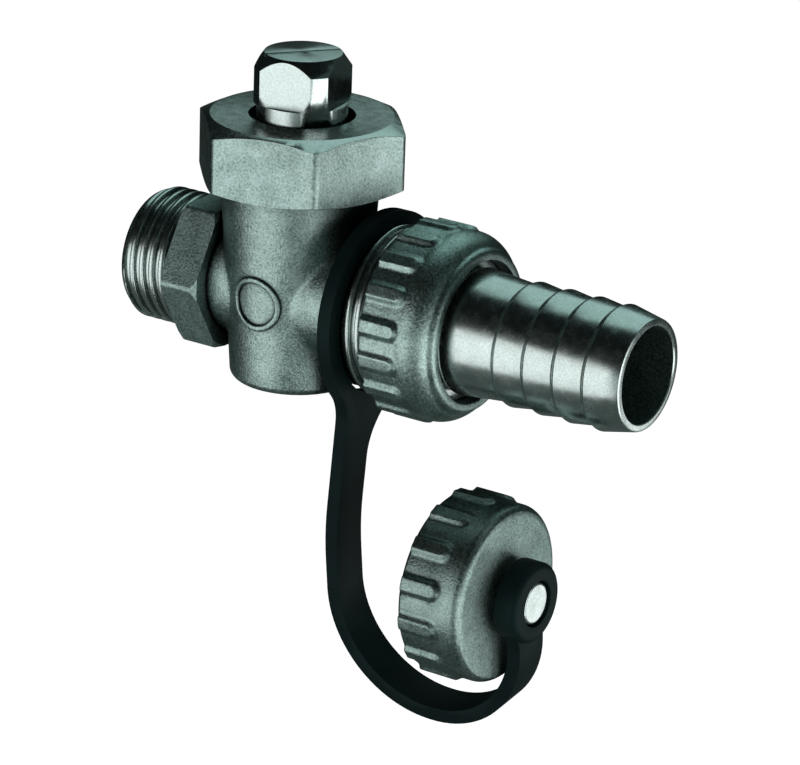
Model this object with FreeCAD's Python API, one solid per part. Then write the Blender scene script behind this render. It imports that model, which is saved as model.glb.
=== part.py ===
import FreeCAD, Part
import math
import os

# Drain cock: tapered plug in a cast body, stuffing box under a hexagon gland nut,
# threaded inlet, hose union on the outlet, and a screw cap kept on a rubber strap.
# Flow axis along X with the origin on the inlet shoulder, plug axis along Z, millimetres.

# Inlet spigot and hexagon
inlet_thread_dia = 20.955
inlet_thread_length = 9.3
inlet_bore_dia = 14.0
inlet_bore_depth = 15.0
hex_across_flats = 22.0
hex_length = 6.7
hex_bevel = 0.9
hex_corner_round = 1.0
inlet_neck_dia = 18.6
thread_lead_in = 1.0

# Barrel
plug_axis_x = 17.2
barrel_foot_z = -14.5
barrel_foot_dia = 20.3
barrel_foot_round = 1.3
barrel_shoulder_z = 17.6
barrel_shoulder_dia = 24.2
boss_dia = 8.6
boss_rim = 0.95
boss_height = 0.5
boss_round = 0.32
cast_fillet = 1.4
gland_thread_dia = 26.0
gland_thread_top_z = 22.6
gland_thread_clearance = 0.06

# Tapered plug with a square head
seat_floor_z = -12.3
plug_foot_z = -11.6
plug_foot_dia = 14.2
plug_shoulder_z = 13.2
plug_shoulder_dia = 17.8
seat_clearance = 0.03
port_dia = 9.0
stem_dia = 13.8
head_foot_z = 29.4
head_round_dia = 14.9
head_across_flats = 12.3
head_chamfer_z = 34.8
head_top_z = 37.0
head_top_dia = 11.8
head_turn = 9.6
score_turn = 53.0
score_width = 0.7
score_depth = 0.35

# Stuffing box, from the plug's shoulder up
packing_box_dia = 19.6
packing_lift = 0.05
packing_washer_thickness = 1.2
packing_ring_height = 2.8
packing_clearance = 0.05
follower_height = 4.5

# Gland nut
gland_nut_across_flats = 29.2
gland_nut_height = 10.6
gland_nut_crown = 2.8
gland_nut_hole_dia = 16.2
gland_nut_top_dia = 27.8
gland_nut_top_bevel = 1.4
gland_nut_foot_dia = 28.8
gland_nut_foot_bevel = 0.9
gland_nut_corner_round = 1.2
gland_nut_turn = 13.0

# Outlet neck and union spigot, lengths from the plug axis
waist_dia = 19.2
waist_end = 10.8
neck_dia = 22.4
neck_start = 13.2
strap_seat_rise = 1.1
spigot_start = 17.4
spigot_end = 27.2
spigot_thread_dia = 26.441
outlet_bore_dia = 16.6
outlet_bore_start = 13.0

# Union nut, and the ribs it shares with the cap
union_nut_dia = 29.0
grip_rib_height = 0.65
grip_rib_foot_width = 3.5
grip_rib_top_width = 1.9
grip_rib_length = 6.9
grip_bevel = 1.0
union_nut_length = 12.8
union_nut_flange = 2.2
union_nut_hole_dia = 21.7
union_nut_shoulder = 27.8
union_nut_lip_dia = 25.2
union_nut_lip_round = 0.9
union_nut_ribs = 17
union_nut_first_rib = 16.5
union_thread_clearance = 0.08

# Hose tail and union gasket
gasket_thickness = 2.0
gasket_edge_clearance = 0.4
tail_bore_dia = 14.6
tail_collar_dia = 25.0
tail_collar_thickness = 1.8
tail_neck_dia = 17.0
tail_land_start = 31.6
tail_land_dia = 19.4
tail_land_round = 1.0
barb_start = 40.8
barb_pitch = 5.12
barb_count = 4
barb_crest_dia = 19.05
barb_valley_dia = 17.86
barb_crest_offset = 0.7
tail_end = 62.3
tail_end_dia = 17.0
tail_tip_round = 0.35

# Screw cap and its sealing disc, hanging beside the outlet
cap_axis_y = -1.8
cap_axis_z = -39.7
cap_dia = 27.7
cap_thread_hole_dia = 24.12
cap_front = 41.2
cap_length = 10.8
cap_face_thickness = 2.2
cap_edge_round = 1.6
cap_ribs = 14
cap_first_rib = 22.7
cap_stub_dia = 6.4
cap_stub_head_dia = 7.0
cap_stub_head_length = 1.0
cap_stub_head_round = 0.35
cap_gasket_thickness = 2.0
cap_gasket_hole_dia = 15.0

# Rubber strap: eye on the outlet neck, flat band in a loop, eye on the cap's stub
strap_thickness = 2.2
strap_width = 6.5
strap_tilt = 6.96
neck_eye_x = 15.6
neck_eye_dia = 30.8
neck_eye_hole_dia = 25.4
neck_eye_drop = 0.3
neck_eye_clearance = 0.05
neck_eye_web_round = 9.0
band_leave_height = 32.6
band_leave_radius = 30.0
band_left_x = 11.05
band_bow_height = 3.6
band_bow_radius = 60.0
loop_depth = 22.9
loop_flat = 0.45
loop_left_share = 0.52
cap_eye_dia = 12.6
cap_eye_length = 3.8
cap_eye_lip = 1.3
cap_eye_lip_round = 1.0
cap_eye_clearance = 0.15
cap_eye_end_gap = 1.6
cap_eye_head_sink = 0.3
cap_eye_head_room = 0.3
cap_eye_web_round = 3.0

ORIGIN = FreeCAD.Vector(0, 0, 0)
X_AXIS = FreeCAD.Vector(1, 0, 0)
Y_AXIS = FreeCAD.Vector(0, 1, 0)
Z_AXIS = FreeCAD.Vector(0, 0, 1)


def flow_x(distance):
    """Place along the flow axis of a point at this distance from the plug axis."""
    return plug_axis_x + distance


def profile_face(steps, to_point):
    """Closed face from plain points and three-point arcs given as (middle, end)."""
    edges = []
    first = to_point(*steps[0])
    here = first
    for step in steps[1:]:
        if isinstance(step[0], tuple):
            middle = to_point(*step[0])
            there = to_point(*step[1])
            edges.append(Part.Arc(here, middle, there).toShape())
        else:
            there = to_point(*step)
            edges.append(Part.LineSegment(here, there).toShape())
        here = there
    edges.append(Part.LineSegment(here, first).toShape())
    return Part.Face(Part.Wire(edges))


def turned_x(steps):
    """Solid turned about the flow axis from (x, radius) steps."""
    face = profile_face(steps, lambda x, r: FreeCAD.Vector(x, 0, r))
    return face.revolve(ORIGIN, X_AXIS, 360)


def turned_z(steps):
    """Solid turned about the Z axis from (radius, z) steps."""
    face = profile_face(steps, lambda r, z: FreeCAD.Vector(r, 0, z))
    return face.revolve(ORIGIN, Z_AXIS, 360)


def bar_x(dia, start, end):
    """Round bar along the flow axis."""
    return Part.makeCylinder(dia / 2, end - start, FreeCAD.Vector(start, 0, 0), X_AXIS)


def bar_z(dia, start, end):
    """Round bar along the Z axis."""
    return Part.makeCylinder(dia / 2, end - start, FreeCAD.Vector(0, 0, start), Z_AXIS)


def hexagon(across_flats, to_point):
    """Hexagon face with a flat facing the second axis of to_point."""
    corner = across_flats / math.sqrt(3)
    points = []
    for index in range(6):
        angle = math.radians(60 * index)
        points.append(to_point(corner * math.cos(angle), corner * math.sin(angle)))
    return Part.Face(Part.makePolygon(points + points[:1]))


def round_corners(prism, axis, radius):
    """Prism with its long edges, those along the axis, rounded."""
    corners = []
    for edge in prism.Edges:
        along = edge.Vertexes[1].Point - edge.Vertexes[0].Point
        if along.cross(axis).Length < along.dot(along) * 1e-6:
            corners.append(edge)
    return prism.makeFillet(radius, corners)


def quarter_middle(centre_a, centre_b, radius_a, radius_b):
    """Middle point of a quarter arc about a centre, towards the signed radii."""
    return (centre_a + radius_a * math.sqrt(0.5), centre_b + radius_b * math.sqrt(0.5))


# Cast valve body

def barrel_radius(z):
    """Outside radius of the tapered barrel at a height."""
    share = (z - barrel_foot_z) / (barrel_shoulder_z - barrel_foot_z)
    return (barrel_foot_dia + share * (barrel_shoulder_dia - barrel_foot_dia)) / 2


def seat_radius(z, clearance):
    """Radius of the plug's taper at a height, with room around it."""
    share = (z - plug_foot_z) / (plug_shoulder_z - plug_foot_z)
    return (plug_foot_dia + share * (plug_shoulder_dia - plug_foot_dia)) / 2 + clearance


def barrel(growth):
    """Tapered barrel with a rounded foot, grown outwards all round."""
    foot = barrel_radius(barrel_foot_z) + growth
    round_top = barrel_foot_z + barrel_foot_round
    middle = quarter_middle(foot - barrel_foot_round, round_top, barrel_foot_round, -barrel_foot_round)
    return turned_z([
        (0, barrel_foot_z),
        (foot - barrel_foot_round, barrel_foot_z),
        (middle, (barrel_radius(round_top) + growth, round_top)),
        (barrel_radius(barrel_shoulder_z) + growth, barrel_shoulder_z),
        (0, barrel_shoulder_z),
    ])


def boss_ring():
    """Plain raised ring on the barrel's front, following its taper, with a rounded crest."""
    reach = barrel_shoulder_dia
    back = FreeCAD.Vector(0, -reach, 0)
    rim = Part.makeCylinder(boss_dia / 2, reach, back, Y_AXIS)
    rim = rim.cut(Part.makeCylinder(boss_dia / 2 - boss_rim, reach, back, Y_AXIS))
    ring = rim.common(barrel(boss_height))
    crest = []
    for edge in ring.Edges:
        kinds = {type(face.Surface).__name__ for face in ring.ancestorsOfType(edge, Part.Face)}
        if kinds == {"Cone", "Cylinder"}:
            crest.append(edge)
    return ring.makeFillet(boss_round, crest)


def blended_necks():
    """Barrel with round necks at inlet and outlet, run into it by cast fillets."""
    upright = barrel(0)
    upright.translate(X_AXIS * plug_axis_x)
    inlet_neck = bar_x(inlet_neck_dia, 0, plug_axis_x)
    outlet_neck = bar_x(waist_dia, plug_axis_x, flow_x(spigot_end))
    blank = upright.fuse([inlet_neck, outlet_neck])
    seams = []
    for edge in blank.Edges:
        kinds = {type(face.Surface).__name__ for face in blank.ancestorsOfType(edge, Part.Face)}
        if kinds == {"Cone", "Cylinder"}:
            seams.append(edge)
    return blank.makeFillet(cast_fillet, seams)


def hex_collar():
    """Spanner hexagon beside the inlet thread, with cast corners, bevelled at both ends."""
    face = hexagon(hex_across_flats, lambda a, b: FreeCAD.Vector(0, a, b))
    prism = round_corners(face.extrude(X_AXIS * hex_length), X_AXIS, hex_corner_round)
    corner = hex_across_flats / math.sqrt(3)
    bevel_radius = corner - hex_bevel
    cone = turned_x([
        (0, 0),
        (0, bevel_radius),
        (hex_bevel / 2, corner),
        (hex_length - hex_bevel, corner),
        (hex_length, bevel_radius),
        (hex_length, 0),
    ])
    return prism.common(cone)


def valve_body():
    """One casting: inlet spigot, hexagon, barrel, outlet neck and union spigot."""
    inlet_radius = inlet_thread_dia / 2
    inlet_end = -inlet_thread_length
    inlet = turned_x([
        (inlet_end, 0),
        (inlet_end, inlet_radius - thread_lead_in),
        (inlet_end + thread_lead_in, inlet_radius),
        (0, inlet_radius),
        (0, 0),
    ])
    waist = waist_dia / 2
    neck = neck_dia / 2
    strap_seat = neck_eye_hole_dia / 2 - neck_eye_drop - neck_eye_clearance
    spigot = spigot_thread_dia / 2
    flare = (neck_start - waist_end, neck - waist)
    flare_middle = (
        flow_x(waist_end) + flare[0] * math.sin(math.pi / 4),
        waist + flare[1] * (1 - math.cos(math.pi / 4)),
    )
    outlet = turned_x([
        (flow_x(waist_end), 0),
        (flow_x(waist_end), waist),
        (flare_middle, (flow_x(neck_start), neck)),
        (flow_x(neck_start) + strap_seat_rise, strap_seat),
        (flow_x(spigot_start), strap_seat),
        (flow_x(spigot_start) + spigot - strap_seat, spigot),
        (flow_x(spigot_end) - thread_lead_in, spigot),
        (flow_x(spigot_end), spigot - thread_lead_in),
        (flow_x(spigot_end), 0),
    ])
    gland_radius = gland_thread_dia / 2
    collar = turned_z([
        (0, barrel_shoulder_z),
        (gland_radius - thread_lead_in, barrel_shoulder_z),
        (gland_radius, barrel_shoulder_z + thread_lead_in),
        (gland_radius, gland_thread_top_z - thread_lead_in),
        (gland_radius - thread_lead_in, gland_thread_top_z),
        (0, gland_thread_top_z),
    ])
    upright = collar.fuse(boss_ring())
    upright.translate(X_AXIS * plug_axis_x)
    casting = blended_necks().fuse([inlet, hex_collar(), outlet, upright])

    box_floor = plug_shoulder_z + packing_lift
    seat = turned_z([
        (0, seat_floor_z),
        (seat_radius(seat_floor_z, seat_clearance), seat_floor_z),
        (seat_radius(box_floor, seat_clearance), box_floor),
        (packing_box_dia / 2, box_floor),
        (packing_box_dia / 2, gland_thread_top_z),
        (0, gland_thread_top_z),
    ])
    seat.translate(X_AXIS * plug_axis_x)
    ports = bar_x(port_dia, inlet_end, flow_x(spigot_end))
    inlet_bore = bar_x(inlet_bore_dia, inlet_end, inlet_end + inlet_bore_depth)
    outlet_bore = bar_x(outlet_bore_dia, flow_x(outlet_bore_start), flow_x(spigot_end))
    return casting.cut([seat, ports, inlet_bore, outlet_bore]).removeSplitter()


# Tapered plug

def plug():
    """Tapered plug with a cross port, stem, square head and score line."""
    blank = turned_z([
        (0, plug_foot_z),
        (seat_radius(plug_foot_z, 0), plug_foot_z),
        (seat_radius(plug_shoulder_z, 0), plug_shoulder_z),
        (stem_dia / 2, plug_shoulder_z),
        (stem_dia / 2, head_foot_z),
        (head_round_dia / 2, head_foot_z),
        (head_round_dia / 2, head_chamfer_z),
        (head_top_dia / 2, head_top_z),
        (0, head_top_z),
    ])
    head_height = head_top_z - head_foot_z
    flats = Part.makeBox(
        head_across_flats, head_across_flats, head_height,
        FreeCAD.Vector(-head_across_flats / 2, -head_across_flats / 2, head_foot_z))
    flats.rotate(ORIGIN, Z_AXIS, head_turn)
    waste = bar_z(2 * head_round_dia, head_foot_z, head_top_z).cut(flats)
    groove = Part.makeBox(
        2 * head_round_dia, score_width, score_depth,
        FreeCAD.Vector(-head_round_dia, -score_width / 2, head_top_z - score_depth))
    port = bar_x(port_dia, -plug_shoulder_dia, plug_shoulder_dia)
    for cut in (groove, port):
        cut.rotate(ORIGIN, Z_AXIS, score_turn)
    shape = blank.cut([waste, groove, port])
    shape.translate(X_AXIS * plug_axis_x)
    return shape


# Stuffing box pieces, from the plug's shoulder up to the gland nut's crown

packing_floor_z = plug_shoulder_z + packing_lift
packing_start_z = packing_floor_z + packing_washer_thickness
follower_foot_z = packing_start_z + 2 * packing_ring_height
gland_crown_z = follower_foot_z + follower_height
gland_nut_top_z = gland_crown_z + gland_nut_crown


def box_ring(start_z, height):
    """Ring that fills the packing box around the stem."""
    outer = packing_box_dia - 2 * packing_clearance
    inner = stem_dia + 2 * packing_clearance
    ring = bar_z(outer, start_z, start_z + height).cut(bar_z(inner, start_z, start_z + height))
    ring.translate(X_AXIS * plug_axis_x)
    return ring


def gland_nut():
    """Hexagon gland nut, open below, bevelled top and bottom."""
    foot_z = gland_nut_top_z - gland_nut_height
    corner = gland_nut_across_flats / math.sqrt(3)
    face = hexagon(gland_nut_across_flats, lambda a, b: FreeCAD.Vector(a, b, foot_z))
    prism = round_corners(face.extrude(Z_AXIS * gland_nut_height), Z_AXIS, gland_nut_corner_round)
    prism.rotate(ORIGIN, Z_AXIS, gland_nut_turn)
    envelope = turned_z([
        (0, foot_z),
        (gland_nut_foot_dia / 2, foot_z),
        (corner, foot_z + gland_nut_foot_bevel),
        (corner, gland_nut_top_z - gland_nut_top_bevel),
        (gland_nut_top_dia / 2, gland_nut_top_z),
        (0, gland_nut_top_z),
    ])
    bore = bar_z(gland_thread_dia + 2 * gland_thread_clearance, foot_z, gland_crown_z)
    hole = bar_z(gland_nut_hole_dia, foot_z, gland_nut_top_z)
    nut = prism.common(envelope).cut([bore, hole])
    nut.translate(X_AXIS * plug_axis_x)
    return nut


# Union nut and cap share ribs for the hand

def rib_outline(width, length, radius):
    """Round-ended outline of a grip rib in a plane at this distance from the axis."""
    half = width / 2
    straight = length - half
    left = FreeCAD.Vector(0, -half, radius)
    left_end = FreeCAD.Vector(straight, -half, radius)
    tip = FreeCAD.Vector(length, 0, radius)
    right_end = FreeCAD.Vector(straight, half, radius)
    right = FreeCAD.Vector(0, half, radius)
    return Part.Wire([
        Part.LineSegment(left, left_end).toShape(),
        Part.Arc(left_end, tip, right_end).toShape(),
        Part.LineSegment(right_end, right).toShape(),
        Part.LineSegment(right, left).toShape(),
    ])


def grip_ribs(grip_dia, count, first_angle):
    """Ring of drafted ribs standing on a round grip, from x = 0."""
    root = grip_dia / 2 - grip_rib_height
    crest = grip_dia / 2 + grip_rib_height
    spread = (grip_rib_foot_width - grip_rib_top_width) / 2
    foot = rib_outline(grip_rib_foot_width + spread, grip_rib_length + spread, root)
    top = rib_outline(grip_rib_top_width, grip_rib_length - spread, crest)
    rib = Part.makeLoft([foot, top], True, True)
    ribs = []
    for index in range(count):
        copy = rib.copy()
        copy.rotate(ORIGIN, X_AXIS, first_angle + index * 360 / count)
        ribs.append(copy)
    return ribs


union_seat_x = flow_x(spigot_end) + gasket_thickness
union_flange_x = union_seat_x + tail_collar_thickness
union_nut_front_x = union_flange_x + union_nut_flange
union_nut_back_x = union_nut_front_x - union_nut_length
union_bore_dia = spigot_thread_dia + 2 * union_thread_clearance


def union_nut():
    """Ribbed union nut with a rounded shoulder and an inner flange."""
    grip = union_nut_dia / 2
    lip = union_nut_lip_dia / 2
    shoulder_x = flow_x(union_nut_shoulder)
    lip_x = union_nut_front_x - union_nut_lip_round
    sweep = (lip_x - shoulder_x, grip - lip)
    shoulder_middle = (
        shoulder_x + sweep[0] * math.sin(math.pi / 4),
        lip + sweep[1] * math.cos(math.pi / 4),
    )
    lip_middle = quarter_middle(lip_x, lip - union_nut_lip_round, union_nut_lip_round, union_nut_lip_round)
    solid = turned_x([
        (union_nut_back_x, 0),
        (union_nut_back_x, grip - grip_bevel),
        (union_nut_back_x + grip_bevel, grip),
        (shoulder_x, grip),
        (shoulder_middle, (lip_x, lip)),
        (lip_middle, (union_nut_front_x, lip - union_nut_lip_round)),
        (union_nut_front_x, 0),
    ])
    ribs = grip_ribs(union_nut_dia, union_nut_ribs, union_nut_first_rib)
    for rib in ribs:
        rib.translate(X_AXIS * (union_nut_back_x + grip_bevel))
    bore = bar_x(union_bore_dia, union_nut_back_x, union_flange_x)
    hole = bar_x(union_nut_hole_dia, union_nut_back_x, union_nut_front_x)
    return solid.fuse(ribs).cut([bore, hole])


def union_gasket():
    """Flat sealing ring between the spigot and the hose tail's collar."""
    start = flow_x(spigot_end)
    outer = spigot_thread_dia - 2 * gasket_edge_clearance
    return bar_x(outer, start, union_seat_x).cut(bar_x(outlet_bore_dia, start, union_seat_x))


def hose_tail():
    """Turned hose tail: sealing collar, land and a row of saw-tooth barbs."""
    neck = tail_neck_dia / 2
    land = tail_land_dia / 2
    valley = barb_valley_dia / 2
    crest = barb_crest_dia / 2
    land_x = flow_x(tail_land_start)
    rise = land - neck
    land_middle = (
        land_x + tail_land_round * (1 - math.cos(math.pi / 4)),
        neck + rise * math.sin(math.pi / 4),
    )
    steps = [
        (union_seat_x, 0),
        (union_seat_x, tail_collar_dia / 2),
        (union_flange_x, tail_collar_dia / 2),
        (union_flange_x, neck),
        (land_x, neck),
        (land_middle, (land_x + tail_land_round, land)),
    ]
    for index in range(barb_count):
        start = flow_x(barb_start) + index * barb_pitch
        steps.append((start, valley))
        steps.append((start + barb_crest_offset, crest))
    tip = tail_end_dia / 2
    steps += [
        (flow_x(tail_end) - tail_tip_round, tip),
        (flow_x(tail_end), tip - tail_tip_round),
        (flow_x(tail_end), 0),
    ]
    return turned_x(steps).cut(bar_x(tail_bore_dia, union_seat_x, flow_x(tail_end)))


# Screw cap, built about the flow axis and then hung in place

cap_front_x = flow_x(cap_front)
cap_back_x = cap_front_x - cap_length
cap_floor_x = cap_front_x - cap_face_thickness
cap_eye_back_x = cap_front_x + cap_eye_end_gap
cap_eye_front_x = cap_eye_back_x + cap_eye_length
cap_head_end_x = cap_eye_front_x - cap_eye_head_sink
cap_head_x = cap_head_end_x - cap_stub_head_length
cap_place = FreeCAD.Vector(0, cap_axis_y, cap_axis_z)


def cap():
    """Ribbed cap with a closed face and a headed stub that snaps into the strap's eye."""
    grip = cap_dia / 2
    edge_x = cap_front_x - cap_edge_round
    edge_middle = quarter_middle(edge_x, grip - cap_edge_round, cap_edge_round, cap_edge_round)
    stub = cap_stub_dia / 2
    head = cap_stub_head_dia / 2
    solid = turned_x([
        (cap_back_x, 0),
        (cap_back_x, grip - grip_bevel / 2),
        (cap_back_x + grip_bevel / 2, grip),
        (edge_x, grip),
        (edge_middle, (cap_front_x, grip - cap_edge_round)),
        (cap_front_x, stub),
        (cap_head_x, stub),
        (cap_head_x, head),
        (cap_head_end_x - cap_stub_head_round, head),
        (cap_head_end_x, head - cap_stub_head_round),
        (cap_head_end_x, 0),
    ])
    ribs = grip_ribs(cap_dia, cap_ribs, cap_first_rib)
    for rib in ribs:
        rib.translate(X_AXIS * (cap_back_x + grip_bevel / 2))
    shape = solid.fuse(ribs).cut(bar_x(cap_thread_hole_dia, cap_back_x, cap_floor_x))
    shape.translate(cap_place)
    return shape


def cap_gasket():
    """Flat sealing ring on the cap's floor."""
    start = cap_floor_x - cap_gasket_thickness
    outer = cap_thread_hole_dia - 2 * gasket_edge_clearance
    ring = bar_x(outer, start, cap_floor_x).cut(bar_x(cap_gasket_hole_dia, start, cap_floor_x))
    ring.translate(cap_place)
    return ring


# Rubber strap, drawn upright in the plane of its loop and then tilted into place

def strap_path():
    """Corners (x, height above the cap's axis, bend radius) of the strap's middle line."""
    cap_eye_x = cap_eye_front_x - cap_eye_lip - strap_thickness / 2
    bends = cap_eye_x - flow_x(band_left_x) - loop_flat
    left_radius = bends * loop_left_share
    right_radius = bends - left_radius
    return [
        (flow_x(neck_eye_x), 2 * band_leave_height, 0),
        (flow_x(neck_eye_x), band_leave_height, band_leave_radius),
        (flow_x(band_left_x), band_bow_height, band_bow_radius),
        (flow_x(band_left_x), -loop_depth, left_radius),
        (cap_eye_x, -loop_depth, right_radius),
        (cap_eye_x, cap_eye_dia, 0),
    ]


def bend(before, corner, after, radius):
    """Start, middle, end and centre of the arc that rounds a corner."""
    to_before = (before - corner).normalize()
    to_after = (after - corner).normalize()
    half_turn = (math.pi - to_before.getAngle(to_after)) / 2
    tangent = radius * math.tan(half_turn)
    inwards = (to_before + to_after).normalize()
    centre = corner + inwards * (radius / math.cos(half_turn))
    return corner + to_before * tangent, centre - inwards * radius, corner + to_after * tangent, centre


def offset_points(offset):
    """Ends and bend points of the path, moved sideways within the loop's plane."""
    corners = [FreeCAD.Vector(x, 0, z) for x, z, radius in strap_path()]
    radii = [radius for x, z, radius in strap_path()]
    side = Y_AXIS.cross(corners[1] - corners[0]).normalize() * offset
    points = [corners[0] + side]
    for index in range(1, len(corners) - 1):
        start, middle, end, centre = bend(*corners[index - 1:index + 2], radii[index])
        along = corners[index] - corners[index - 1]
        inside = Y_AXIS.cross(along).dot(centre - start) > 0
        scale = (radii[index] - offset if inside else radii[index] + offset) / radii[index]
        for point in (start, middle, end):
            points.append(centre + (point - centre) * scale)
    side = Y_AXIS.cross(corners[-1] - corners[-2]).normalize() * offset
    points.append(corners[-1] + side)
    return points


def path_edges(points):
    """Straight runs and arcs through the points of an offset path."""
    edges = []
    for index in range(0, len(points) - 1, 3):
        edges.append(Part.LineSegment(points[index], points[index + 1]).toShape())
        if index + 3 < len(points):
            arc = points[index + 1:index + 4]
            edges.append(Part.Arc(*arc).toShape())
    return edges


def strap_sheet():
    """Bent sheet of the strap's thickness, wider than both eyes."""
    inner = offset_points(strap_thickness / 2)
    outer = offset_points(-strap_thickness / 2)
    edges = path_edges(inner) + path_edges(outer)
    edges.append(Part.LineSegment(inner[0], outer[0]).toShape())
    edges.append(Part.LineSegment(inner[-1], outer[-1]).toShape())
    face = Part.Face(Part.Wire(Part.__sortEdges__(edges)))
    face.translate(Y_AXIS * -neck_eye_dia)
    return face.extrude(Y_AXIS * 2 * neck_eye_dia)


def eye_outline(dia, across, height, foot, web_round, start, end):
    """Round eye run into the band, as a prism along the flow axis with webbed corners."""
    eye = Part.makeCylinder(dia / 2, end - start, FreeCAD.Vector(start, across, height), X_AXIS)
    band = Part.makeBox(
        end - start, strap_width, height - foot, FreeCAD.Vector(start, -strap_width / 2, foot))
    prism = eye.fuse(band).removeSplitter()
    corners = []
    for edge in prism.Edges:
        middle = edge.CenterOfMass
        level = abs(edge.Vertexes[0].X - edge.Vertexes[-1].X) > (end - start) / 2
        side = abs(abs(middle.y) - strap_width / 2) < 1e-6
        if level and side and middle.z > foot + strap_width:
            corners.append(edge)
    return prism.makeFillet(web_round, corners)


def retaining_strap():
    """Moulded rubber strap with an eye at each end of its band."""
    lean = math.radians(strap_tilt)
    eye_y = -neck_eye_drop * math.sin(lean) - cap_axis_y
    eye_z = -neck_eye_drop * math.cos(lean) - cap_axis_z
    across = eye_y * math.cos(lean) + eye_z * math.sin(lean)
    height = eye_z * math.cos(lean) - eye_y * math.sin(lean)
    left = min(flow_x(band_left_x), flow_x(neck_eye_x)) - strap_width
    right = cap_eye_front_x + strap_width
    halfway = (flow_x(band_left_x) + cap_eye_front_x) / 2
    foot = -loop_depth - strap_width
    neck_side = eye_outline(neck_eye_dia, across, height, foot, neck_eye_web_round, left, halfway)
    cap_side = eye_outline(cap_eye_dia, 0, 0, foot, cap_eye_web_round, halfway, right)
    sheet = strap_sheet()
    eye_hole = Part.makeCylinder(
        neck_eye_hole_dia / 2, halfway - left, FreeCAD.Vector(left, across, height), X_AXIS)
    band = sheet.common(neck_side).cut(eye_hole).fuse(sheet.common(cap_side))

    outer = cap_eye_dia / 2
    hole = bar_x(cap_stub_dia + 2 * cap_eye_clearance, cap_eye_back_x, cap_eye_front_x)
    head_seat_x = cap_head_x - cap_eye_head_room
    head_room = bar_x(cap_stub_head_dia + 2 * cap_eye_clearance, head_seat_x, cap_eye_front_x)
    lip_x = cap_eye_front_x - cap_eye_lip_round
    lip_middle = quarter_middle(lip_x, outer - cap_eye_lip_round, cap_eye_lip_round, cap_eye_lip_round)
    bush = turned_x([
        (cap_eye_back_x, 0),
        (cap_eye_back_x, outer),
        (lip_x, outer),
        (lip_middle, (cap_eye_front_x, outer - cap_eye_lip_round)),
        (cap_eye_front_x, 0),
    ])
    strap = band.fuse(bush).cut([hole, head_room]).removeSplitter()
    strap.rotate(ORIGIN, X_AXIS, strap_tilt)
    strap.translate(cap_place)
    return strap


def main():
    """Build every piece and write it to its own file."""
    os.makedirs("parts", exist_ok=True)
    pieces = {
        "valve_body": valve_body(),
        "plug": plug(),
        "packing_washer": box_ring(packing_floor_z, packing_washer_thickness),
        "packing_ring_lower": box_ring(packing_start_z, packing_ring_height),
        "packing_ring_upper": box_ring(packing_start_z + packing_ring_height, packing_ring_height),
        "gland_follower": box_ring(follower_foot_z, follower_height),
        "gland_nut": gland_nut(),
        "union_gasket": union_gasket(),
        "hose_tail": hose_tail(),
        "union_nut": union_nut(),
        "cap": cap(),
        "cap_gasket": cap_gasket(),
        "retaining_strap": retaining_strap(),
    }
    for name, shape in pieces.items():
        print(name, "valid", shape.isValid(), "solids", len(shape.Solids), "volume", round(shape.Volume, 2))
        shape.exportStep("parts/" + name + ".step")


main()
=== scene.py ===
import math
import bpy
from mathutils import Matrix, Vector


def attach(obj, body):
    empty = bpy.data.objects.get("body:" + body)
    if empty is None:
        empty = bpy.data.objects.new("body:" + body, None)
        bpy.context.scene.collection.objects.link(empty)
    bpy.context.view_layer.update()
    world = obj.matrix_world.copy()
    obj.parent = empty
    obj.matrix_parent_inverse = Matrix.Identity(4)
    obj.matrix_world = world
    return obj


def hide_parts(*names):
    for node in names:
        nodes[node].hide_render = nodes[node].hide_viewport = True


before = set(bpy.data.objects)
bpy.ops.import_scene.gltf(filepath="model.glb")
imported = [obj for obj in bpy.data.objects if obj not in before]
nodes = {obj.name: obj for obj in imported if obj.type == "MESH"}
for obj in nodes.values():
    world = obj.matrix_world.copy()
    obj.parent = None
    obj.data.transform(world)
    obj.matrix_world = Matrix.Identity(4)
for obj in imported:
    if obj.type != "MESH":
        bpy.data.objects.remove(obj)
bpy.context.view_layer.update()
mm = 0.001
print("frame loaded:", len(nodes), "nodes")


# small helpers: points closer than a weld, in mm, become one, and edges flatter than flatAngle go

copyWeld = 0.001
drawnWeld = 0.002
flatAngle = 0.6


def makeActive(piece):
    if bpy.context.mode != "OBJECT":
        bpy.ops.object.mode_set(mode="OBJECT")
    bpy.ops.object.select_all(action="DESELECT")
    piece.select_set(True)
    bpy.context.view_layer.objects.active = piece


def startEdit(piece, pick="SELECT"):
    makeActive(piece)
    bpy.ops.object.mode_set(mode="EDIT")
    bpy.ops.mesh.select_all(action=pick)


def endEdit():
    bpy.ops.object.mode_set(mode="OBJECT")


def applyModifier(piece, kind, **settings):
    makeActive(piece)
    modifier = piece.modifiers.new(kind.lower(), kind)
    for name, value in settings.items():
        setattr(modifier, name, value)
    bpy.ops.object.modifier_apply(modifier=modifier.name)


def smoothFaces(piece, degrees):
    makeActive(piece)
    bpy.ops.object.shade_smooth_by_angle(angle=math.radians(degrees))


def mergedCopy(nodeName, pieceName):
    piece = bpy.data.objects.new(pieceName, nodes[nodeName].data.copy())
    bpy.context.scene.collection.objects.link(piece)
    piece.data.materials.clear()
    startEdit(piece)
    bpy.ops.mesh.remove_doubles(threshold=copyWeld * mm)
    bpy.ops.mesh.customdata_custom_splitnormals_clear()
    endEdit()
    return piece


def closeDrawn(piece):
    # joins a drawn form where it meets itself and turns its faces outwards
    startEdit(piece)
    bpy.ops.mesh.remove_doubles(threshold=drawnWeld * mm)
    bpy.ops.mesh.normals_make_consistent(inside=False)
    endEdit()


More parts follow.
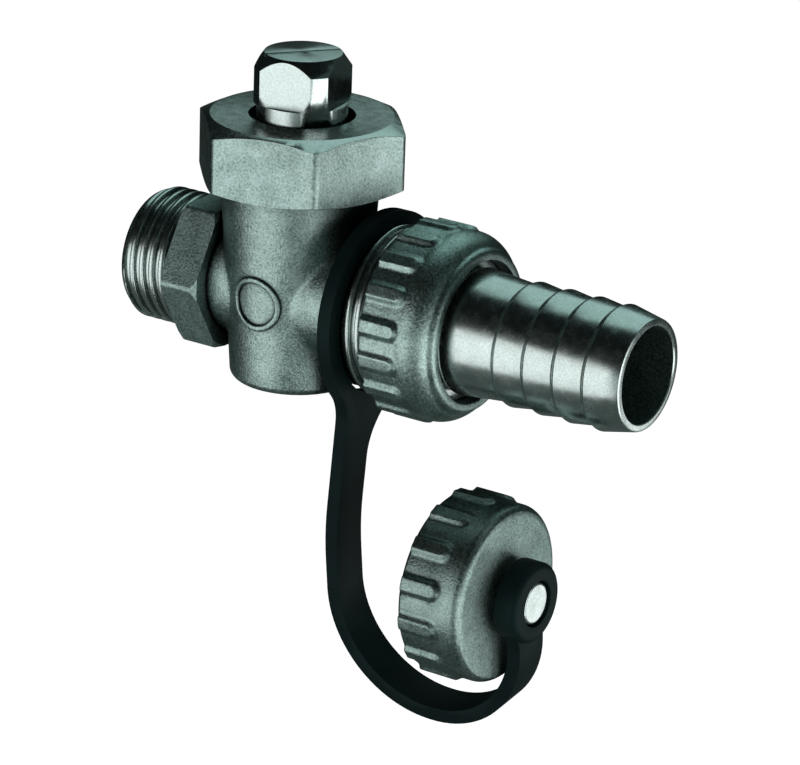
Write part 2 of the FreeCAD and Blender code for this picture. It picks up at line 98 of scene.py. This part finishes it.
def roundEdges(piece, look):
    # bevels the edges that are sharper than the look's angle
    startEdit(piece)
    bpy.ops.mesh.dissolve_limited(angle_limit=math.radians(flatAngle))
    endEdit()
    applyModifier(
        piece, "BEVEL", width=look["edge"] * mm, segments=look["segments"], limit_method="ANGLE",
        angle_limit=math.radians(look["sharp"]), use_clamp_overlap=True)
    smoothFaces(piece, look["smooth"])


def pickPoints(piece, test):
    # selects the points that pass the test on (x, radius about the flow axis), in mm
    startEdit(piece, "DESELECT")
    endEdit()
    count = 0
    for point in piece.data.vertices:
        radius = math.hypot(point.co.y, point.co.z) / mm
        point.select = test(point.co.x / mm, radius)
        count += point.select
    bpy.ops.object.mode_set(mode="EDIT")
    return count


def finishFaces(piece, finishes, choose):
    # choose gives the number of a face's finish from its centre in mm and its normal
    for finish in finishes:
        piece.data.materials.append(finish)
    for face in piece.data.polygons:
        face.material_index = choose(face.center / mm, face.normal)


def ringPiece(name, steps, segments):
    # a ring drawn out along the flow axis, from (x, radius) steps in mm that end at their start
    x, radius = steps[0]
    bpy.ops.object.select_all(action="DESELECT")
    bpy.ops.mesh.primitive_circle_add(
        vertices=segments, radius=radius * mm, location=(x * mm, 0, 0),
        rotation=(0, math.pi / 2, 0))
    piece = bpy.context.object
    piece.name = name
    bpy.ops.object.transform_apply(location=True, rotation=True, scale=True)
    startEdit(piece)
    for nextX, nextRadius in steps[1:]:
        bpy.ops.mesh.extrude_region_move(
            TRANSFORM_OT_translate={"value": ((nextX - x) * mm, 0, 0)})
        grow = nextRadius / radius
        bpy.ops.transform.resize(value=(1, grow, grow), center_override=(nextX * mm, 0, 0))
        x, radius = nextX, nextRadius
    closeDrawn(piece)
    return piece


# finishes

white = "#ffffff"
# a mix node's colour sockets share their names with its other sockets, so they go by number
mixFirst, mixSecond, mixResult = 6, 7, 2
creaseSamples = 8
# a wave texture runs through this many radians in one unit of its scale
waveRadians = 20


def hexColour(code):
    # sRGB hex code to linear colour
    linear = []
    for start in (1, 3, 5):
        part = int(code[start:start + 2], 16) / 255
        linear.append(part / 12.92 if part <= 0.04045 else ((part + 0.055) / 1.055) ** 2.4)
    return (*linear, 1.0)


def addNode(tree, kind, settings, sockets):
    node = tree.nodes.new(kind)
    for name, value in settings.items():
        setattr(node, name, value)
    for name, value in sockets.items():
        if isinstance(value, bpy.types.NodeSocket):
            tree.links.new(value, node.inputs[name])
        else:
            node.inputs[name].default_value = value
    return node


def perMm(size):
    # texture scale for a pattern whose unit is this many millimetres
    return 1 / (size * mm)


def newFinish(name):
    finish = bpy.data.materials.new(name)
    finish.use_nodes = True
    tree = finish.node_tree
    return finish, tree, tree.nodes["Principled BSDF"]


# nickel plated brass casting, blasted: dull grey metal with a fine even grain and soft cloudy
# patches,
# with painted shade: dark creases, and darker hollows under and between parts
castLook = {
    "dark": "#728983", "light": "#cde4e0",
    "grain": 0.34, "grainDetail": 3.0, "grainRough": 0.6, "grainFrom": 0.3, "grainTo": 0.7,
    "cloud": 3.0, "cloudDetail": 2.0, "cloudShare": 0.35, "speckleFrom": 0.45, "speckleTo": 0.92,
    "bump": 0.10, "bumpStrength": 0.7, "roughLow": 0.28, "roughHigh": 0.42,
    "crease": 0.8, "creaseFrom": 0.6, "creaseTo": 0.96, "creaseDark": 0.1,
    "shade": 10.0, "shadeFrom": 0.25, "shadeTo": 0.9,
}


def castNickel(name, tone, shadeLow, dulling):
    look = castLook
    finish, tree, shader = newFinish(name)
    place = addNode(tree, "ShaderNodeTexCoord", {}, {}).outputs["Object"]
    grain = addNode(tree, "ShaderNodeTexNoise", {}, {
        "Vector": place, "Scale": perMm(look["grain"]), "Detail": look["grainDetail"],
        "Roughness": look["grainRough"]}).outputs["Fac"]
    cloud = addNode(tree, "ShaderNodeTexNoise", {}, {
        "Vector": place, "Scale": perMm(look["cloud"]),
        "Detail": look["cloudDetail"]}).outputs["Fac"]
    both = addNode(tree, "ShaderNodeMath", {"operation": "MULTIPLY_ADD"}, {
        0: cloud, 1: look["cloudShare"], 2: grain}).outputs[0]
    speckle = addNode(tree, "ShaderNodeMapRange", {}, {
        "Value": both, "From Min": look["speckleFrom"], "From Max": look["speckleTo"]}).outputs[0]
    colour = addNode(tree, "ShaderNodeMix", {"data_type": "RGBA"}, {
        "Factor": speckle, mixFirst: hexColour(look["dark"]),
        mixSecond: hexColour(look["light"])}).outputs[mixResult]
    rough = addNode(tree, "ShaderNodeMapRange", {}, {
        "Value": grain, "From Min": look["grainFrom"], "From Max": look["grainTo"],
        "To Min": look["roughLow"] + dulling, "To Max": look["roughHigh"] + dulling}).outputs[0]
    bump = addNode(tree, "ShaderNodeBump", {}, {
        "Strength": look["bumpStrength"], "Distance": look["bump"] * mm,
        "Height": grain}).outputs["Normal"]
    # painted shade: occlusion darkens the colour in narrow creases (near) and under and between
    # parts (wide)
    near = addNode(tree, "ShaderNodeAmbientOcclusion", {"samples": creaseSamples}, {
        "Distance": look["crease"] * mm}).outputs["AO"]
    wide = addNode(tree, "ShaderNodeAmbientOcclusion", {"samples": creaseSamples}, {
        "Distance": look["shade"] * mm}).outputs["AO"]
    crease = addNode(tree, "ShaderNodeMapRange", {}, {
        "Value": near, "From Min": look["creaseFrom"], "From Max": look["creaseTo"],
        "To Min": look["creaseDark"], "To Max": tone}).outputs[0]
    shade = addNode(tree, "ShaderNodeMapRange", {}, {
        "Value": wide, "From Min": look["shadeFrom"], "From Max": look["shadeTo"],
        "To Min": shadeLow, "To Max": 1.0}).outputs[0]
    paintedShadeAndTone = addNode(tree, "ShaderNodeMath", {"operation": "MULTIPLY"}, {
        0: crease, 1: shade}).outputs[0]
    colourWithPaintedShade = addNode(tree, "ShaderNodeMix", {"data_type": "RGBA", "blend_type": "MULTIPLY"}, {
        "Factor": 1.0, mixFirst: colour, mixSecond: paintedShadeAndTone}).outputs[mixResult]
    tree.links.new(colourWithPaintedShade, shader.inputs["Base Color"])
    tree.links.new(rough, shader.inputs["Roughness"])
    tree.links.new(bump, shader.inputs["Normal"])
    shader.inputs["Metallic"].default_value = 1.0
    return finish


# nickel plated brass, turned: bright metal with fine tool lines round its axis, which repeat about
# every 2 mm, and a light speckle, with painted shade in its thread roots and narrow creases
turnedLook = {
    "colour": "#cedad7",
    "lineRadian": 0.32, "lineBend": 0.4, "lineDetail": 2.0, "lineDetailScale": 1.5,
    "blotch": 1.6, "blotchDetail": 4.0, "glossier": 0.04, "duller": 0.06,
    "grain": 0.3, "grainDetail": 2.0, "grainDark": 0.84, "grainLight": 1.04,
    "noiseFrom": 0.3, "noiseTo": 0.7, "bump": 0.004, "bumpStrength": 0.6,
    "crease": 0.5, "creaseFrom": 0.4, "creaseTo": 0.8, "creaseDark": 0.1,
}


def turnedNickel(name, direction, centre, gloss, sheen):
    look = turnedLook
    finish, tree, shader = newFinish(name)
    place = addNode(tree, "ShaderNodeTexCoord", {}, {}).outputs["Object"]
    moved = addNode(tree, "ShaderNodeMapping", {}, {
        "Vector": place, "Location": tuple(-part * mm for part in centre)}).outputs["Vector"]
    pattern = {"wave_type": "RINGS", "rings_direction": direction}
    if direction == "X":
        pattern = {"wave_type": "BANDS", "bands_direction": direction}
    lines = addNode(tree, "ShaderNodeTexWave", pattern, {
        "Vector": moved, "Scale": perMm(look["lineRadian"]) / waveRadians,
        "Distortion": look["lineBend"], "Detail": look["lineDetail"],
        "Detail Scale": look["lineDetailScale"]}).outputs["Fac"]
    blotch = addNode(tree, "ShaderNodeTexNoise", {}, {
        "Vector": place, "Scale": perMm(look["blotch"]),
        "Detail": look["blotchDetail"]}).outputs["Fac"]
    rough = addNode(tree, "ShaderNodeMapRange", {}, {
        "Value": blotch, "From Min": look["noiseFrom"], "From Max": look["noiseTo"],
        "To Min": gloss - look["glossier"], "To Max": gloss + look["duller"]}).outputs[0]
    bump = addNode(tree, "ShaderNodeBump", {}, {
        "Strength": look["bumpStrength"], "Distance": look["bump"] * mm,
        "Height": lines}).outputs["Normal"]
    # painted shade: occlusion darkens the colour in thread roots and other narrow creases
    near = addNode(tree, "ShaderNodeAmbientOcclusion", {"samples": creaseSamples}, {
        "Distance": look["crease"] * mm}).outputs["AO"]
    crease = addNode(tree, "ShaderNodeMapRange", {}, {
        "Value": near, "From Min": look["creaseFrom"], "From Max": look["creaseTo"],
        "To Min": look["creaseDark"], "To Max": 1.0}).outputs[0]
    grain = addNode(tree, "ShaderNodeTexNoise", {}, {
        "Vector": place, "Scale": perMm(look["grain"]),
        "Detail": look["grainDetail"]}).outputs["Fac"]
    speckle = addNode(tree, "ShaderNodeMapRange", {}, {
        "Value": grain, "From Min": look["noiseFrom"], "From Max": look["noiseTo"],
        "To Min": look["grainDark"], "To Max": look["grainLight"]}).outputs[0]
    paintedShadeAndTone = addNode(tree, "ShaderNodeMath", {"operation": "MULTIPLY"}, {
        0: crease, 1: speckle}).outputs[0]
    colour = addNode(tree, "ShaderNodeMix", {"data_type": "RGBA", "blend_type": "MULTIPLY"}, {
        "Factor": 1.0, mixFirst: hexColour(look["colour"]), mixSecond: paintedShadeAndTone}).outputs[mixResult]
    tree.links.new(colour, shader.inputs["Base Color"])
    tree.links.new(rough, shader.inputs["Roughness"])
    tree.links.new(bump, shader.inputs["Normal"])
    shader.inputs["Metallic"].default_value = 1.0
    if sheen:
        around = addNode(tree, "ShaderNodeTangent", {
            "direction_type": "RADIAL", "axis": direction}, {}).outputs[0]
        tree.links.new(around, shader.inputs["Tangent"])
        shader.inputs["Anisotropic"].default_value = sheen
    return finish


# moulded black rubber: dull, with a slight bloom and fine mould grain
rubberLook = {
    "dark": "#071111", "light": "#122020", "tint": "#a4d6d4", "rough": 0.5, "shine": 0.16,
    "bloom": 6.0, "bloomDetail": 5.0, "grain": 0.5, "grainDetail": 2.0,
    "bump": 0.012, "bumpStrength": 0.5,
}


def mouldedRubber():
    look = rubberLook
    finish, tree, shader = newFinish("mouldedRubber")
    place = addNode(tree, "ShaderNodeTexCoord", {}, {}).outputs["Object"]
    bloom = addNode(tree, "ShaderNodeTexNoise", {}, {
        "Vector": place, "Scale": perMm(look["bloom"]),
        "Detail": look["bloomDetail"]}).outputs["Fac"]
    grain = addNode(tree, "ShaderNodeTexNoise", {}, {
        "Vector": place, "Scale": perMm(look["grain"]),
        "Detail": look["grainDetail"]}).outputs["Fac"]
    colour = addNode(tree, "ShaderNodeMix", {"data_type": "RGBA"}, {
        "Factor": bloom, mixFirst: hexColour(look["dark"]),
        mixSecond: hexColour(look["light"])}).outputs[mixResult]
    bump = addNode(tree, "ShaderNodeBump", {}, {
        "Strength": look["bumpStrength"], "Distance": look["bump"] * mm,
        "Height": grain}).outputs["Normal"]
    tree.links.new(colour, shader.inputs["Base Color"])
    tree.links.new(bump, shader.inputs["Normal"])
    shader.inputs["Roughness"].default_value = look["rough"]
    shader.inputs["Specular IOR Level"].default_value = look["shine"]
    shader.inputs["Specular Tint"].default_value = hexColour(look["tint"])
    return finish


flowAxis = (0, 0, 0)
plugAxis = (17.2, 0, 0)
capAxis = (0, -1.8, -39.7)
castFinish = castNickel("castNickel", tone=0.94, shadeLow=0.2, dulling=0.0)
# painted shade and light: the cap's sides take a darker tone and its front face a lighter one, for
# how light falls on them; the face is also rougher
capFinish = castNickel("castNickelPaintedDarker", tone=0.72, shadeLow=0.9, dulling=0.0)
capFaceFinish = castNickel("blastedCastNickelPaintedLighter", tone=0.98, shadeLow=0.9, dulling=0.16)
hexFinish = castNickel("roughCastNickel", tone=1.0, shadeLow=0.2, dulling=0.12)
turnedAlong = turnedNickel("turnedNickelAlongFlow", "X", flowAxis, gloss=0.24, sheen=0)
turnedRound = turnedNickel("turnedNickelRoundPlug", "Z", plugAxis, gloss=0.17, sheen=0)
turnedFace = turnedNickel("turnedNickelPlugTop", "Z", plugAxis, gloss=0.32, sheen=0.8)
turnedDull = turnedNickel("dullNickelRoundPlug", "Z", plugAxis, gloss=0.25, sheen=0.6)
turnedStub = turnedNickel("turnedNickelCapStub", "X", capAxis, gloss=0.2, sheen=0)
rubberFinish = mouldedRubber()
print("finishes made")


# pipe threads: a ridge drawn along a helix on the plain root, chamfered at its free end

pipeThread = {
    "pitch": 1.814, "turns": 7, "steps": 96, "sink": 0.3, "footWidth": 1.75, "topWidth": 0.85,
    "round": 0.26, "roundSteps": 3, "lead": 1.0, "smooth": 40,
}
inletThread = {
    **pipeThread, "crest": 10.47, "root": 9.72,
    "start": -11.0, "from": -9.0, "to": -0.02, "leadEnd": -9.3,
}
unionThread = {
    **pipeThread, "crest": 13.21, "root": 12.4,
    "start": 33.0, "from": 35.0, "to": 44.13, "leadEnd": 44.4,
}


def threadRidge(name, thread):
    bpy.ops.object.select_all(action="DESELECT")
    bpy.ops.mesh.primitive_plane_add(size=1.0, rotation=(math.pi / 2, 0, 0))
    ridge = bpy.context.object
    ridge.name = name
    bpy.ops.object.transform_apply(location=True, rotation=True, scale=True)
    depth = thread["crest"] - thread["root"]
    foot = thread["root"] - thread["sink"] * depth
    middle = (foot + thread["crest"]) / 2
    startEdit(ridge)
    bpy.ops.transform.resize(
        value=(thread["footWidth"] * mm, 1, (thread["crest"] - foot) * mm))
    bpy.ops.transform.translate(value=(thread["start"] * mm, 0, middle * mm))
    endEdit()
    for point in ridge.data.vertices:
        point.select = point.co.z > middle * mm
    bpy.ops.object.mode_set(mode="EDIT")
    narrow = thread["topWidth"] / thread["footWidth"]
    bpy.ops.transform.resize(value=(narrow, 1, 1), center_override=(thread["start"] * mm, 0, 0))
    bpy.ops.mesh.bevel(
        offset=thread["round"] * mm, segments=thread["roundSteps"], affect="VERTICES")
    bpy.ops.mesh.select_all(action="SELECT")
    bpy.ops.mesh.delete(type="ONLY_FACE")
    endEdit()
    applyModifier(
        ridge, "SCREW", axis="X", angle=2 * math.pi, screw_offset=thread["pitch"] * mm,
        iterations=thread["turns"], steps=thread["steps"], render_steps=thread["steps"])
    for cut, outwards in ((thread["from"], -1), (thread["to"], 1)):
        startEdit(ridge)
        bpy.ops.mesh.bisect(
            plane_co=(cut * mm, 0, 0), plane_no=(outwards, 0, 0), use_fill=True,
            clear_outer=True, threshold=copyWeld * mm)
        endEdit()
    for point in ridge.data.vertices:
        radius = math.hypot(point.co.y, point.co.z)
        fromEnd = abs(point.co.x / mm - thread["leadEnd"])
        most = (thread["crest"] - thread["lead"] + fromEnd) * mm
        if radius > most:
            point.co.y *= most / radius
            point.co.z *= most / radius
    closeDrawn(ridge)
    smoothFaces(ridge, thread["smooth"])
    ridge.data.materials.append(turnedAlong)
    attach(ridge, "body")


threadRidge("inlet_thread_ridge", inletThread)
threadRidge("union_thread_ridge", unionThread)
print("threads drawn")


# cast body: the CAD form, with both spigots turned down to their thread roots

castBody = {
    "smooth": 32, "pickRoom": 0.06, "pastEnds": 99,
    "inletCrest": 10.4775, "inletNose": 9.4775, "inletEnd": 0.01, "inletNoseEnd": -9.0,
    "spigotCrest": 13.2205, "spigotNose": 12.2205, "spigotStart": 34.7, "spigotNoseStart": 44.0,
    "inletOutside": 10.45, "spigotFaces": 34.5, "spigotInside": 8,
    "hexEnd": 6.75, "hexInside": 9.0,
}


def bodyFinish(centre, normal):
    radius = math.hypot(centre.y, centre.z)
    if centre.x > castBody["spigotFaces"] and radius > castBody["spigotInside"]:
        return 1
    if centre.x < castBody["inletEnd"] and radius < castBody["inletOutside"]:
        return 1
    hexagon = castBody["inletEnd"] < centre.x < castBody["hexEnd"]
    return 2 if hexagon and radius > castBody["hexInside"] else 0


def dressBody():
    body = mergedCopy("valve_body", "cast_body")
    far = castBody["pastEnds"]
    for crest, root, low, high in (
            (castBody["inletCrest"], inletThread["root"], -far, castBody["inletEnd"]),
            (castBody["inletNose"], inletThread["root"], -far, castBody["inletNoseEnd"]),
            (castBody["spigotCrest"], unionThread["root"], castBody["spigotStart"], far),
            (castBody["spigotNose"], unionThread["root"], castBody["spigotNoseStart"], far)):
        found = pickPoints(
            body, lambda x, r: low <= x <= high and abs(r - crest) < castBody["pickRoom"])
        shrink = root / crest
        bpy.ops.transform.resize(value=(1, shrink, shrink), center_override=(0, 0, 0))
        endEdit()
        print("body points turned down:", found)
    smoothFaces(body, castBody["smooth"])
    finishFaces(body, [castFinish, turnedAlong, hexFinish], bodyFinish)
    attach(body, "body")
    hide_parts("valve_body")


dressBody()
print("cast body dressed")


# gland nut and plug: the CAD forms with crisp turned edges

glandNut = {"edge": 0.18, "segments": 2, "sharp": 28, "smooth": 18, "topFacing": 0.3}
nut = mergedCopy("gland_nut", "gland_hexagon")
roundEdges(nut, glandNut)
finishFaces(
    nut, [castFinish, turnedDull],
    lambda centre, normal: 1 if normal.z > glandNut["topFacing"] else 0)
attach(nut, "body")
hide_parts("gland_nut")

plugHead = {
    "edge": 0.14, "segments": 2, "sharp": 28, "smooth": 30, "foot": 29.35, "topFacing": 0.95,
}


def plugFinish(centre, normal):
    if centre.z < plugHead["foot"]:
        return 1
    return 2 if normal.z > plugHead["topFacing"] else 0


stem = mergedCopy("plug", "square_plug")
roundEdges(stem, plugHead)
finishFaces(stem, [turnedRound, turnedDull, turnedFace], plugFinish)
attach(stem, "plug")
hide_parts("plug")
print("gland nut and plug dressed")


# hose tail: drawn out ring by ring, with rolled barb crests

hoseTail = {
    "seat": 46.4, "collarEnd": 48.2, "landStart": 48.8, "landTop": 49.8, "barbStart": 58.0,
    "tip": 79.5, "bore": 7.3, "collar": 12.5, "neck": 8.5, "land": 9.7, "valley": 8.93,
    "crest": 9.525, "end": 8.5, "pitch": 5.12, "barbs": 4, "rise": 1.0, "edge": 0.12,
    "valleyBack": 0.12, "valleyLift": 0.02, "tipRound": 0.3, "tipMiddle": 0.09, "boreEdge": 0.15,
    "boreRoom": 0.01, "curveSteps": 8, "segments": 144, "smooth": 40,
}


def dressTail():
    t = hoseTail
    edge = t["edge"]
    steps = [
        (t["seat"], t["bore"]), (t["seat"], t["collar"] - edge), (t["seat"] + edge, t["collar"]),
        (t["collarEnd"] - edge, t["collar"]), (t["collarEnd"], t["collar"] - edge),
        (t["collarEnd"], t["neck"] + edge), (t["collarEnd"] + edge, t["neck"]),
        (t["landStart"], t["neck"]),
    ]
    for part in range(1, t["curveSteps"] + 1):
        turn = part / t["curveSteps"] * math.pi / 2
        steps.append((
            t["landStart"] + (t["landTop"] - t["landStart"]) * (1 - math.cos(turn)),
            t["neck"] + (t["land"] - t["neck"]) * math.sin(turn)))
    for barb in range(t["barbs"]):
        start = t["barbStart"] + barb * t["pitch"]
        steps.append((start - t["valleyBack"], t["valley"] + t["valleyLift"]))
        for part in range(t["curveSteps"] + 1):
            share = part / t["curveSteps"]
            steps.append((
                start + share * t["rise"],
                t["valley"] + (t["crest"] - t["valley"]) * share * share * (3 - 2 * share)))
    steps += [
        (t["tip"] - t["tipRound"], t["end"]),
        (t["tip"] - t["tipMiddle"], t["end"] - t["tipMiddle"]),
        (t["tip"], t["end"] - t["tipRound"]), (t["tip"], t["bore"] + t["boreEdge"]),
        (t["tip"] - t["boreEdge"], t["bore"]), (t["seat"], t["bore"]),
    ]
    tail = ringPiece("barbed_tail", steps, t["segments"])
    smoothFaces(tail, t["smooth"])
    # the bore takes the cast finish, so its painted shade darkens the inside of the bore
    boreLimit = t["bore"] + t["boreRoom"]
    finishFaces(
        tail, [turnedAlong, castFinish],
        lambda centre, normal: 1 if math.hypot(centre.y, centre.z) < boreLimit else 0)
    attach(tail, "tail")
    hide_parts("hose_tail")


dressTail()
print("hose tail drawn")


# union nut and cap: the CAD forms, softened as castings leave the mould

ribbedNut = {"name": "ribbed_nut", "body": "nut", "voxel": 0.2, "softness": 0.5, "rounds": 5}
ribbedCap = {
    "name": "ribbed_cap", "body": "cap", "voxel": 0.2, "softness": 0.5, "rounds": 5,
    "stubFrom": 61.8, "faceTurn": 0.9,
}


def capPart(centre, normal):
    if centre.x > ribbedCap["stubFrom"]:
        return 1
    return 2 if normal.x > ribbedCap["faceTurn"] else 0


def softened(nodeName, form, finishes, choose):
    piece = mergedCopy(nodeName, form["name"])
    applyModifier(
        piece, "REMESH", mode="VOXEL", voxel_size=form["voxel"] * mm, use_smooth_shade=True)
    applyModifier(piece, "SMOOTH", factor=form["softness"], iterations=form["rounds"])
    makeActive(piece)
    bpy.ops.object.shade_smooth()
    finishFaces(piece, finishes, choose)
    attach(piece, form["body"])
    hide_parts(nodeName)
    print(form["name"], "faces", len(piece.data.polygons))


softened("union_nut", ribbedNut, [castFinish], lambda centre, normal: 0)
softened("cap", ribbedCap, [capFinish, turnedStub, capFaceFinish], capPart)


# rubber strap: the CAD form with its edges rounded as they leave the mould

rubberStrap = {"edge": 0.45, "segments": 3, "sharp": 35, "smooth": 40}
strap = mergedCopy("retaining_strap", "rubber_strap")
roundEdges(strap, rubberStrap)
strap.data.materials.append(rubberFinish)
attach(strap, "strap")
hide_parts("retaining_strap")
print("rubber_strap faces", len(strap.data.polygons))


# seals, packing and bushes inside keep their CAD forms

# dark sealing rubber and pale pressed packing: both dull, with a faint grain
insideLook = {
    "gasketRubber": {"colour": "#181b1b", "rough": 0.6, "grain": 0.4},
    "pressedPacking": {"colour": "#d9d7cf", "rough": 0.7, "grain": 0.3},
}
insideGrain = {"detail": 3.0, "bump": 0.02, "bumpStrength": 0.4}


def plainFinish(name):
    look = insideLook[name]
    finish, tree, shader = newFinish(name)
    place = addNode(tree, "ShaderNodeTexCoord", {}, {}).outputs["Object"]
    weave = addNode(tree, "ShaderNodeTexNoise", {}, {
        "Vector": place, "Scale": perMm(look["grain"]),
        "Detail": insideGrain["detail"]}).outputs["Fac"]
    bump = addNode(tree, "ShaderNodeBump", {}, {
        "Strength": insideGrain["bumpStrength"], "Distance": insideGrain["bump"] * mm,
        "Height": weave}).outputs["Normal"]
    tree.links.new(bump, shader.inputs["Normal"])
    shader.inputs["Base Color"].default_value = hexColour(look["colour"])
    shader.inputs["Roughness"].default_value = look["rough"]
    return finish


gasketFinish = plainFinish("gasketRubber")
packingFinish = plainFinish("pressedPacking")
insideFinishes = {
    "packing_washer": turnedRound, "gland_follower": turnedRound,
    "packing_ring_lower": packingFinish, "packing_ring_upper": packingFinish,
    "union_gasket": gasketFinish, "cap_gasket": gasketFinish,
}
for nodeName, finish in insideFinishes.items():
    inner = nodes[nodeName]
    inner.data.materials.clear()
    inner.data.materials.append(finish)
print("inside pieces finished")


# studio, in metres: a white floor well below the hanging strap, soft boxes, and dark flags that
# only the metal's gloss sees; capShade also keeps light off the cap's top

studio = {
    "floorZ": -0.42, "floorSize": 6.0, "floorColour": "#f4f5f4", "floorRough": 0.9,
    "floorGlow": 0.70, "worldLight": 0.35,
}
aimPoint = Vector((0.035, 0, -0.01))
lamps = {
    "keyLeft": {"place": (-0.152, -0.463, -0.084), "wide": 0.51, "tall": 0.53, "power": 0.95},
    "sideRight": {"place": (0.508, -0.016, -0.173), "wide": 0.73, "tall": 0.34, "power": 1.45},
    "stubRight": {"place": (0.305, 0.39, -0.24), "wide": 0.13, "tall": 0.12, "power": 0.07},
    "topBack": {"place": (-0.072, 0.402, 0.556), "wide": 0.62, "tall": 0.70, "power": 0.88,
                "colour": "#dcfffb"},
}
flags = {
    "flagLeft": {"place": (-0.90, 0, 0), "wide": 1.9, "tall": 1.9, "colour": "#121918"},
    "flagRight": {"place": (0.95, 0, 0), "wide": 1.9, "tall": 1.9, "colour": "#3d4947"},
    "flagBack": {"place": (0, 0.92, 0), "wide": 1.9, "tall": 1.9, "colour": "#2c3634"},
    "flagFront": {"place": (0, -0.95, -0.35), "wide": 1.9, "tall": 1.2, "colour": "#717e7b"},
    "flagFrontHigh": {"place": (0, -1.25, 0.30), "wide": 2.6, "tall": 2.2, "colour": "#0f1514"},
    "flagTop": {"place": (0, 0, 0.90), "wide": 1.9, "tall": 1.9, "colour": "#0c1110"},
    "flagLow": {"place": (0.035, 0, -0.40), "wide": 1.9, "tall": 1.9, "colour": "#4a5351"},
    "cardFront": {"place": (0.36, -0.45, -0.10), "wide": 0.40, "tall": 0.28, "colour": "#d3dbd9"},
    "capShade": {"place": (0.022, 0.036, 0.003), "wide": 0.075, "tall": 0.05, "colour": "#0c1110"},
}


def rayShare(tree):
    # 1 for what the camera sees, straight or by gloss or glass, and 0 for all other light
    path = addNode(tree, "ShaderNodeLightPath", {}, {})
    seen = addNode(tree, "ShaderNodeMath", {"operation": "ADD"}, {
        0: path.outputs["Is Camera Ray"], 1: path.outputs["Is Glossy Ray"]}).outputs[0]
    return addNode(tree, "ShaderNodeMath", {"operation": "ADD", "use_clamp": True}, {
        0: seen, 1: path.outputs["Is Transmission Ray"]}).outputs[0]


def layFloor():
    bpy.ops.object.select_all(action="DESELECT")
    bpy.ops.mesh.primitive_plane_add(size=studio["floorSize"], location=(0, 0, studio["floorZ"]))
    floor = bpy.context.object
    floor.name = "studio_floor"
    finish, tree, shader = newFinish("paleFloor")
    shader.inputs["Base Color"].default_value = hexColour(studio["floorColour"])
    shader.inputs["Roughness"].default_value = studio["floorRough"]
    shader.inputs["Emission Color"].default_value = hexColour(white)
    glow = addNode(tree, "ShaderNodeMath", {"operation": "MULTIPLY"}, {
        0: rayShare(tree), 1: studio["floorGlow"]}).outputs[0]
    tree.links.new(glow, shader.inputs["Emission Strength"])
    floor.data.materials.append(finish)


def whiteSurround():
    world = bpy.data.worlds.new("whiteSurround")
    bpy.context.scene.world = world
    world.use_nodes = True
    tree = world.node_tree
    back = tree.nodes["Background"]
    back.inputs["Color"].default_value = hexColour(white)
    level = addNode(tree, "ShaderNodeMapRange", {}, {
        "Value": rayShare(tree), "To Min": studio["worldLight"], "To Max": 1.0}).outputs[0]
    tree.links.new(level, back.inputs["Strength"])


def faceAim(thing, place):
    thing.location = place
    thing.rotation_euler = (aimPoint - Vector(place)).to_track_quat("-Z", "Y").to_euler()


def hangLamp(name, lamp):
    data = bpy.data.lights.new(name, "AREA")
    data.shape = "RECTANGLE"
    data.size = lamp["wide"]
    data.size_y = lamp["tall"]
    data.energy = lamp["power"]
    data.color = hexColour(lamp.get("colour", white))[:3]
    light = bpy.data.objects.new(name, data)
    bpy.context.scene.collection.objects.link(light)
    faceAim(light, lamp["place"])


# each flag is a sheet that glows its colour, hidden from the camera and from diffuse light, so it
# only paints the reflections the metal shows; capShade also casts shadow
def hangFlag(name, flag):
    bpy.ops.object.select_all(action="DESELECT")
    bpy.ops.mesh.primitive_plane_add(size=1.0)
    sheet = bpy.context.object
    sheet.name = name
    sheet.scale = (flag["wide"], flag["tall"], 1)
    faceAim(sheet, flag["place"])
    sheet.visible_camera = False
    sheet.visible_diffuse = False
    sheet.visible_shadow = name == "capShade"
    finish, _, shader = newFinish(name + "ReflectionGlow")
    shader.inputs["Base Color"].default_value = hexColour("#000000")
    shader.inputs["Roughness"].default_value = 1.0
    shader.inputs["Specular IOR Level"].default_value = 0.0
    shader.inputs["Emission Color"].default_value = hexColour(flag["colour"])
    shader.inputs["Emission Strength"].default_value = 1.0
    sheet.data.materials.append(finish)


layFloor()
whiteSurround()
for lampName, lamp in lamps.items():
    hangLamp(lampName, lamp)
for flagName, flag in flags.items():
    hangFlag(flagName, flag)
print("studio lit")


# camera, from the photograph's viewing angle

viewFrom = {
    "place": (0.34469, -0.46369, 0.19637), "lens": 177.0, "sensor": 36.0, "clipStart": 0.01,
    "right": (0.82568, 0.56321, 0.03221), "up": (-0.22192, 0.27178, 0.93643),
    "back": (0.51866, -0.78034, 0.34939),
}
eye = bpy.data.cameras.new("photoCamera")
eye.lens = viewFrom["lens"]
eye.sensor_width = viewFrom["sensor"]
eye.clip_start = viewFrom["clipStart"]
camera = bpy.data.objects.new("photoCamera", eye)
bpy.context.scene.collection.objects.link(camera)
turn = Matrix((viewFrom["right"], viewFrom["up"], viewFrom["back"])).transposed()
camera.matrix_world = Matrix.Translation(viewFrom["place"]) @ turn.to_4x4()
bpy.context.scene.camera = camera
bpy.context.scene.view_settings.view_transform = "Standard"
print("camera set")
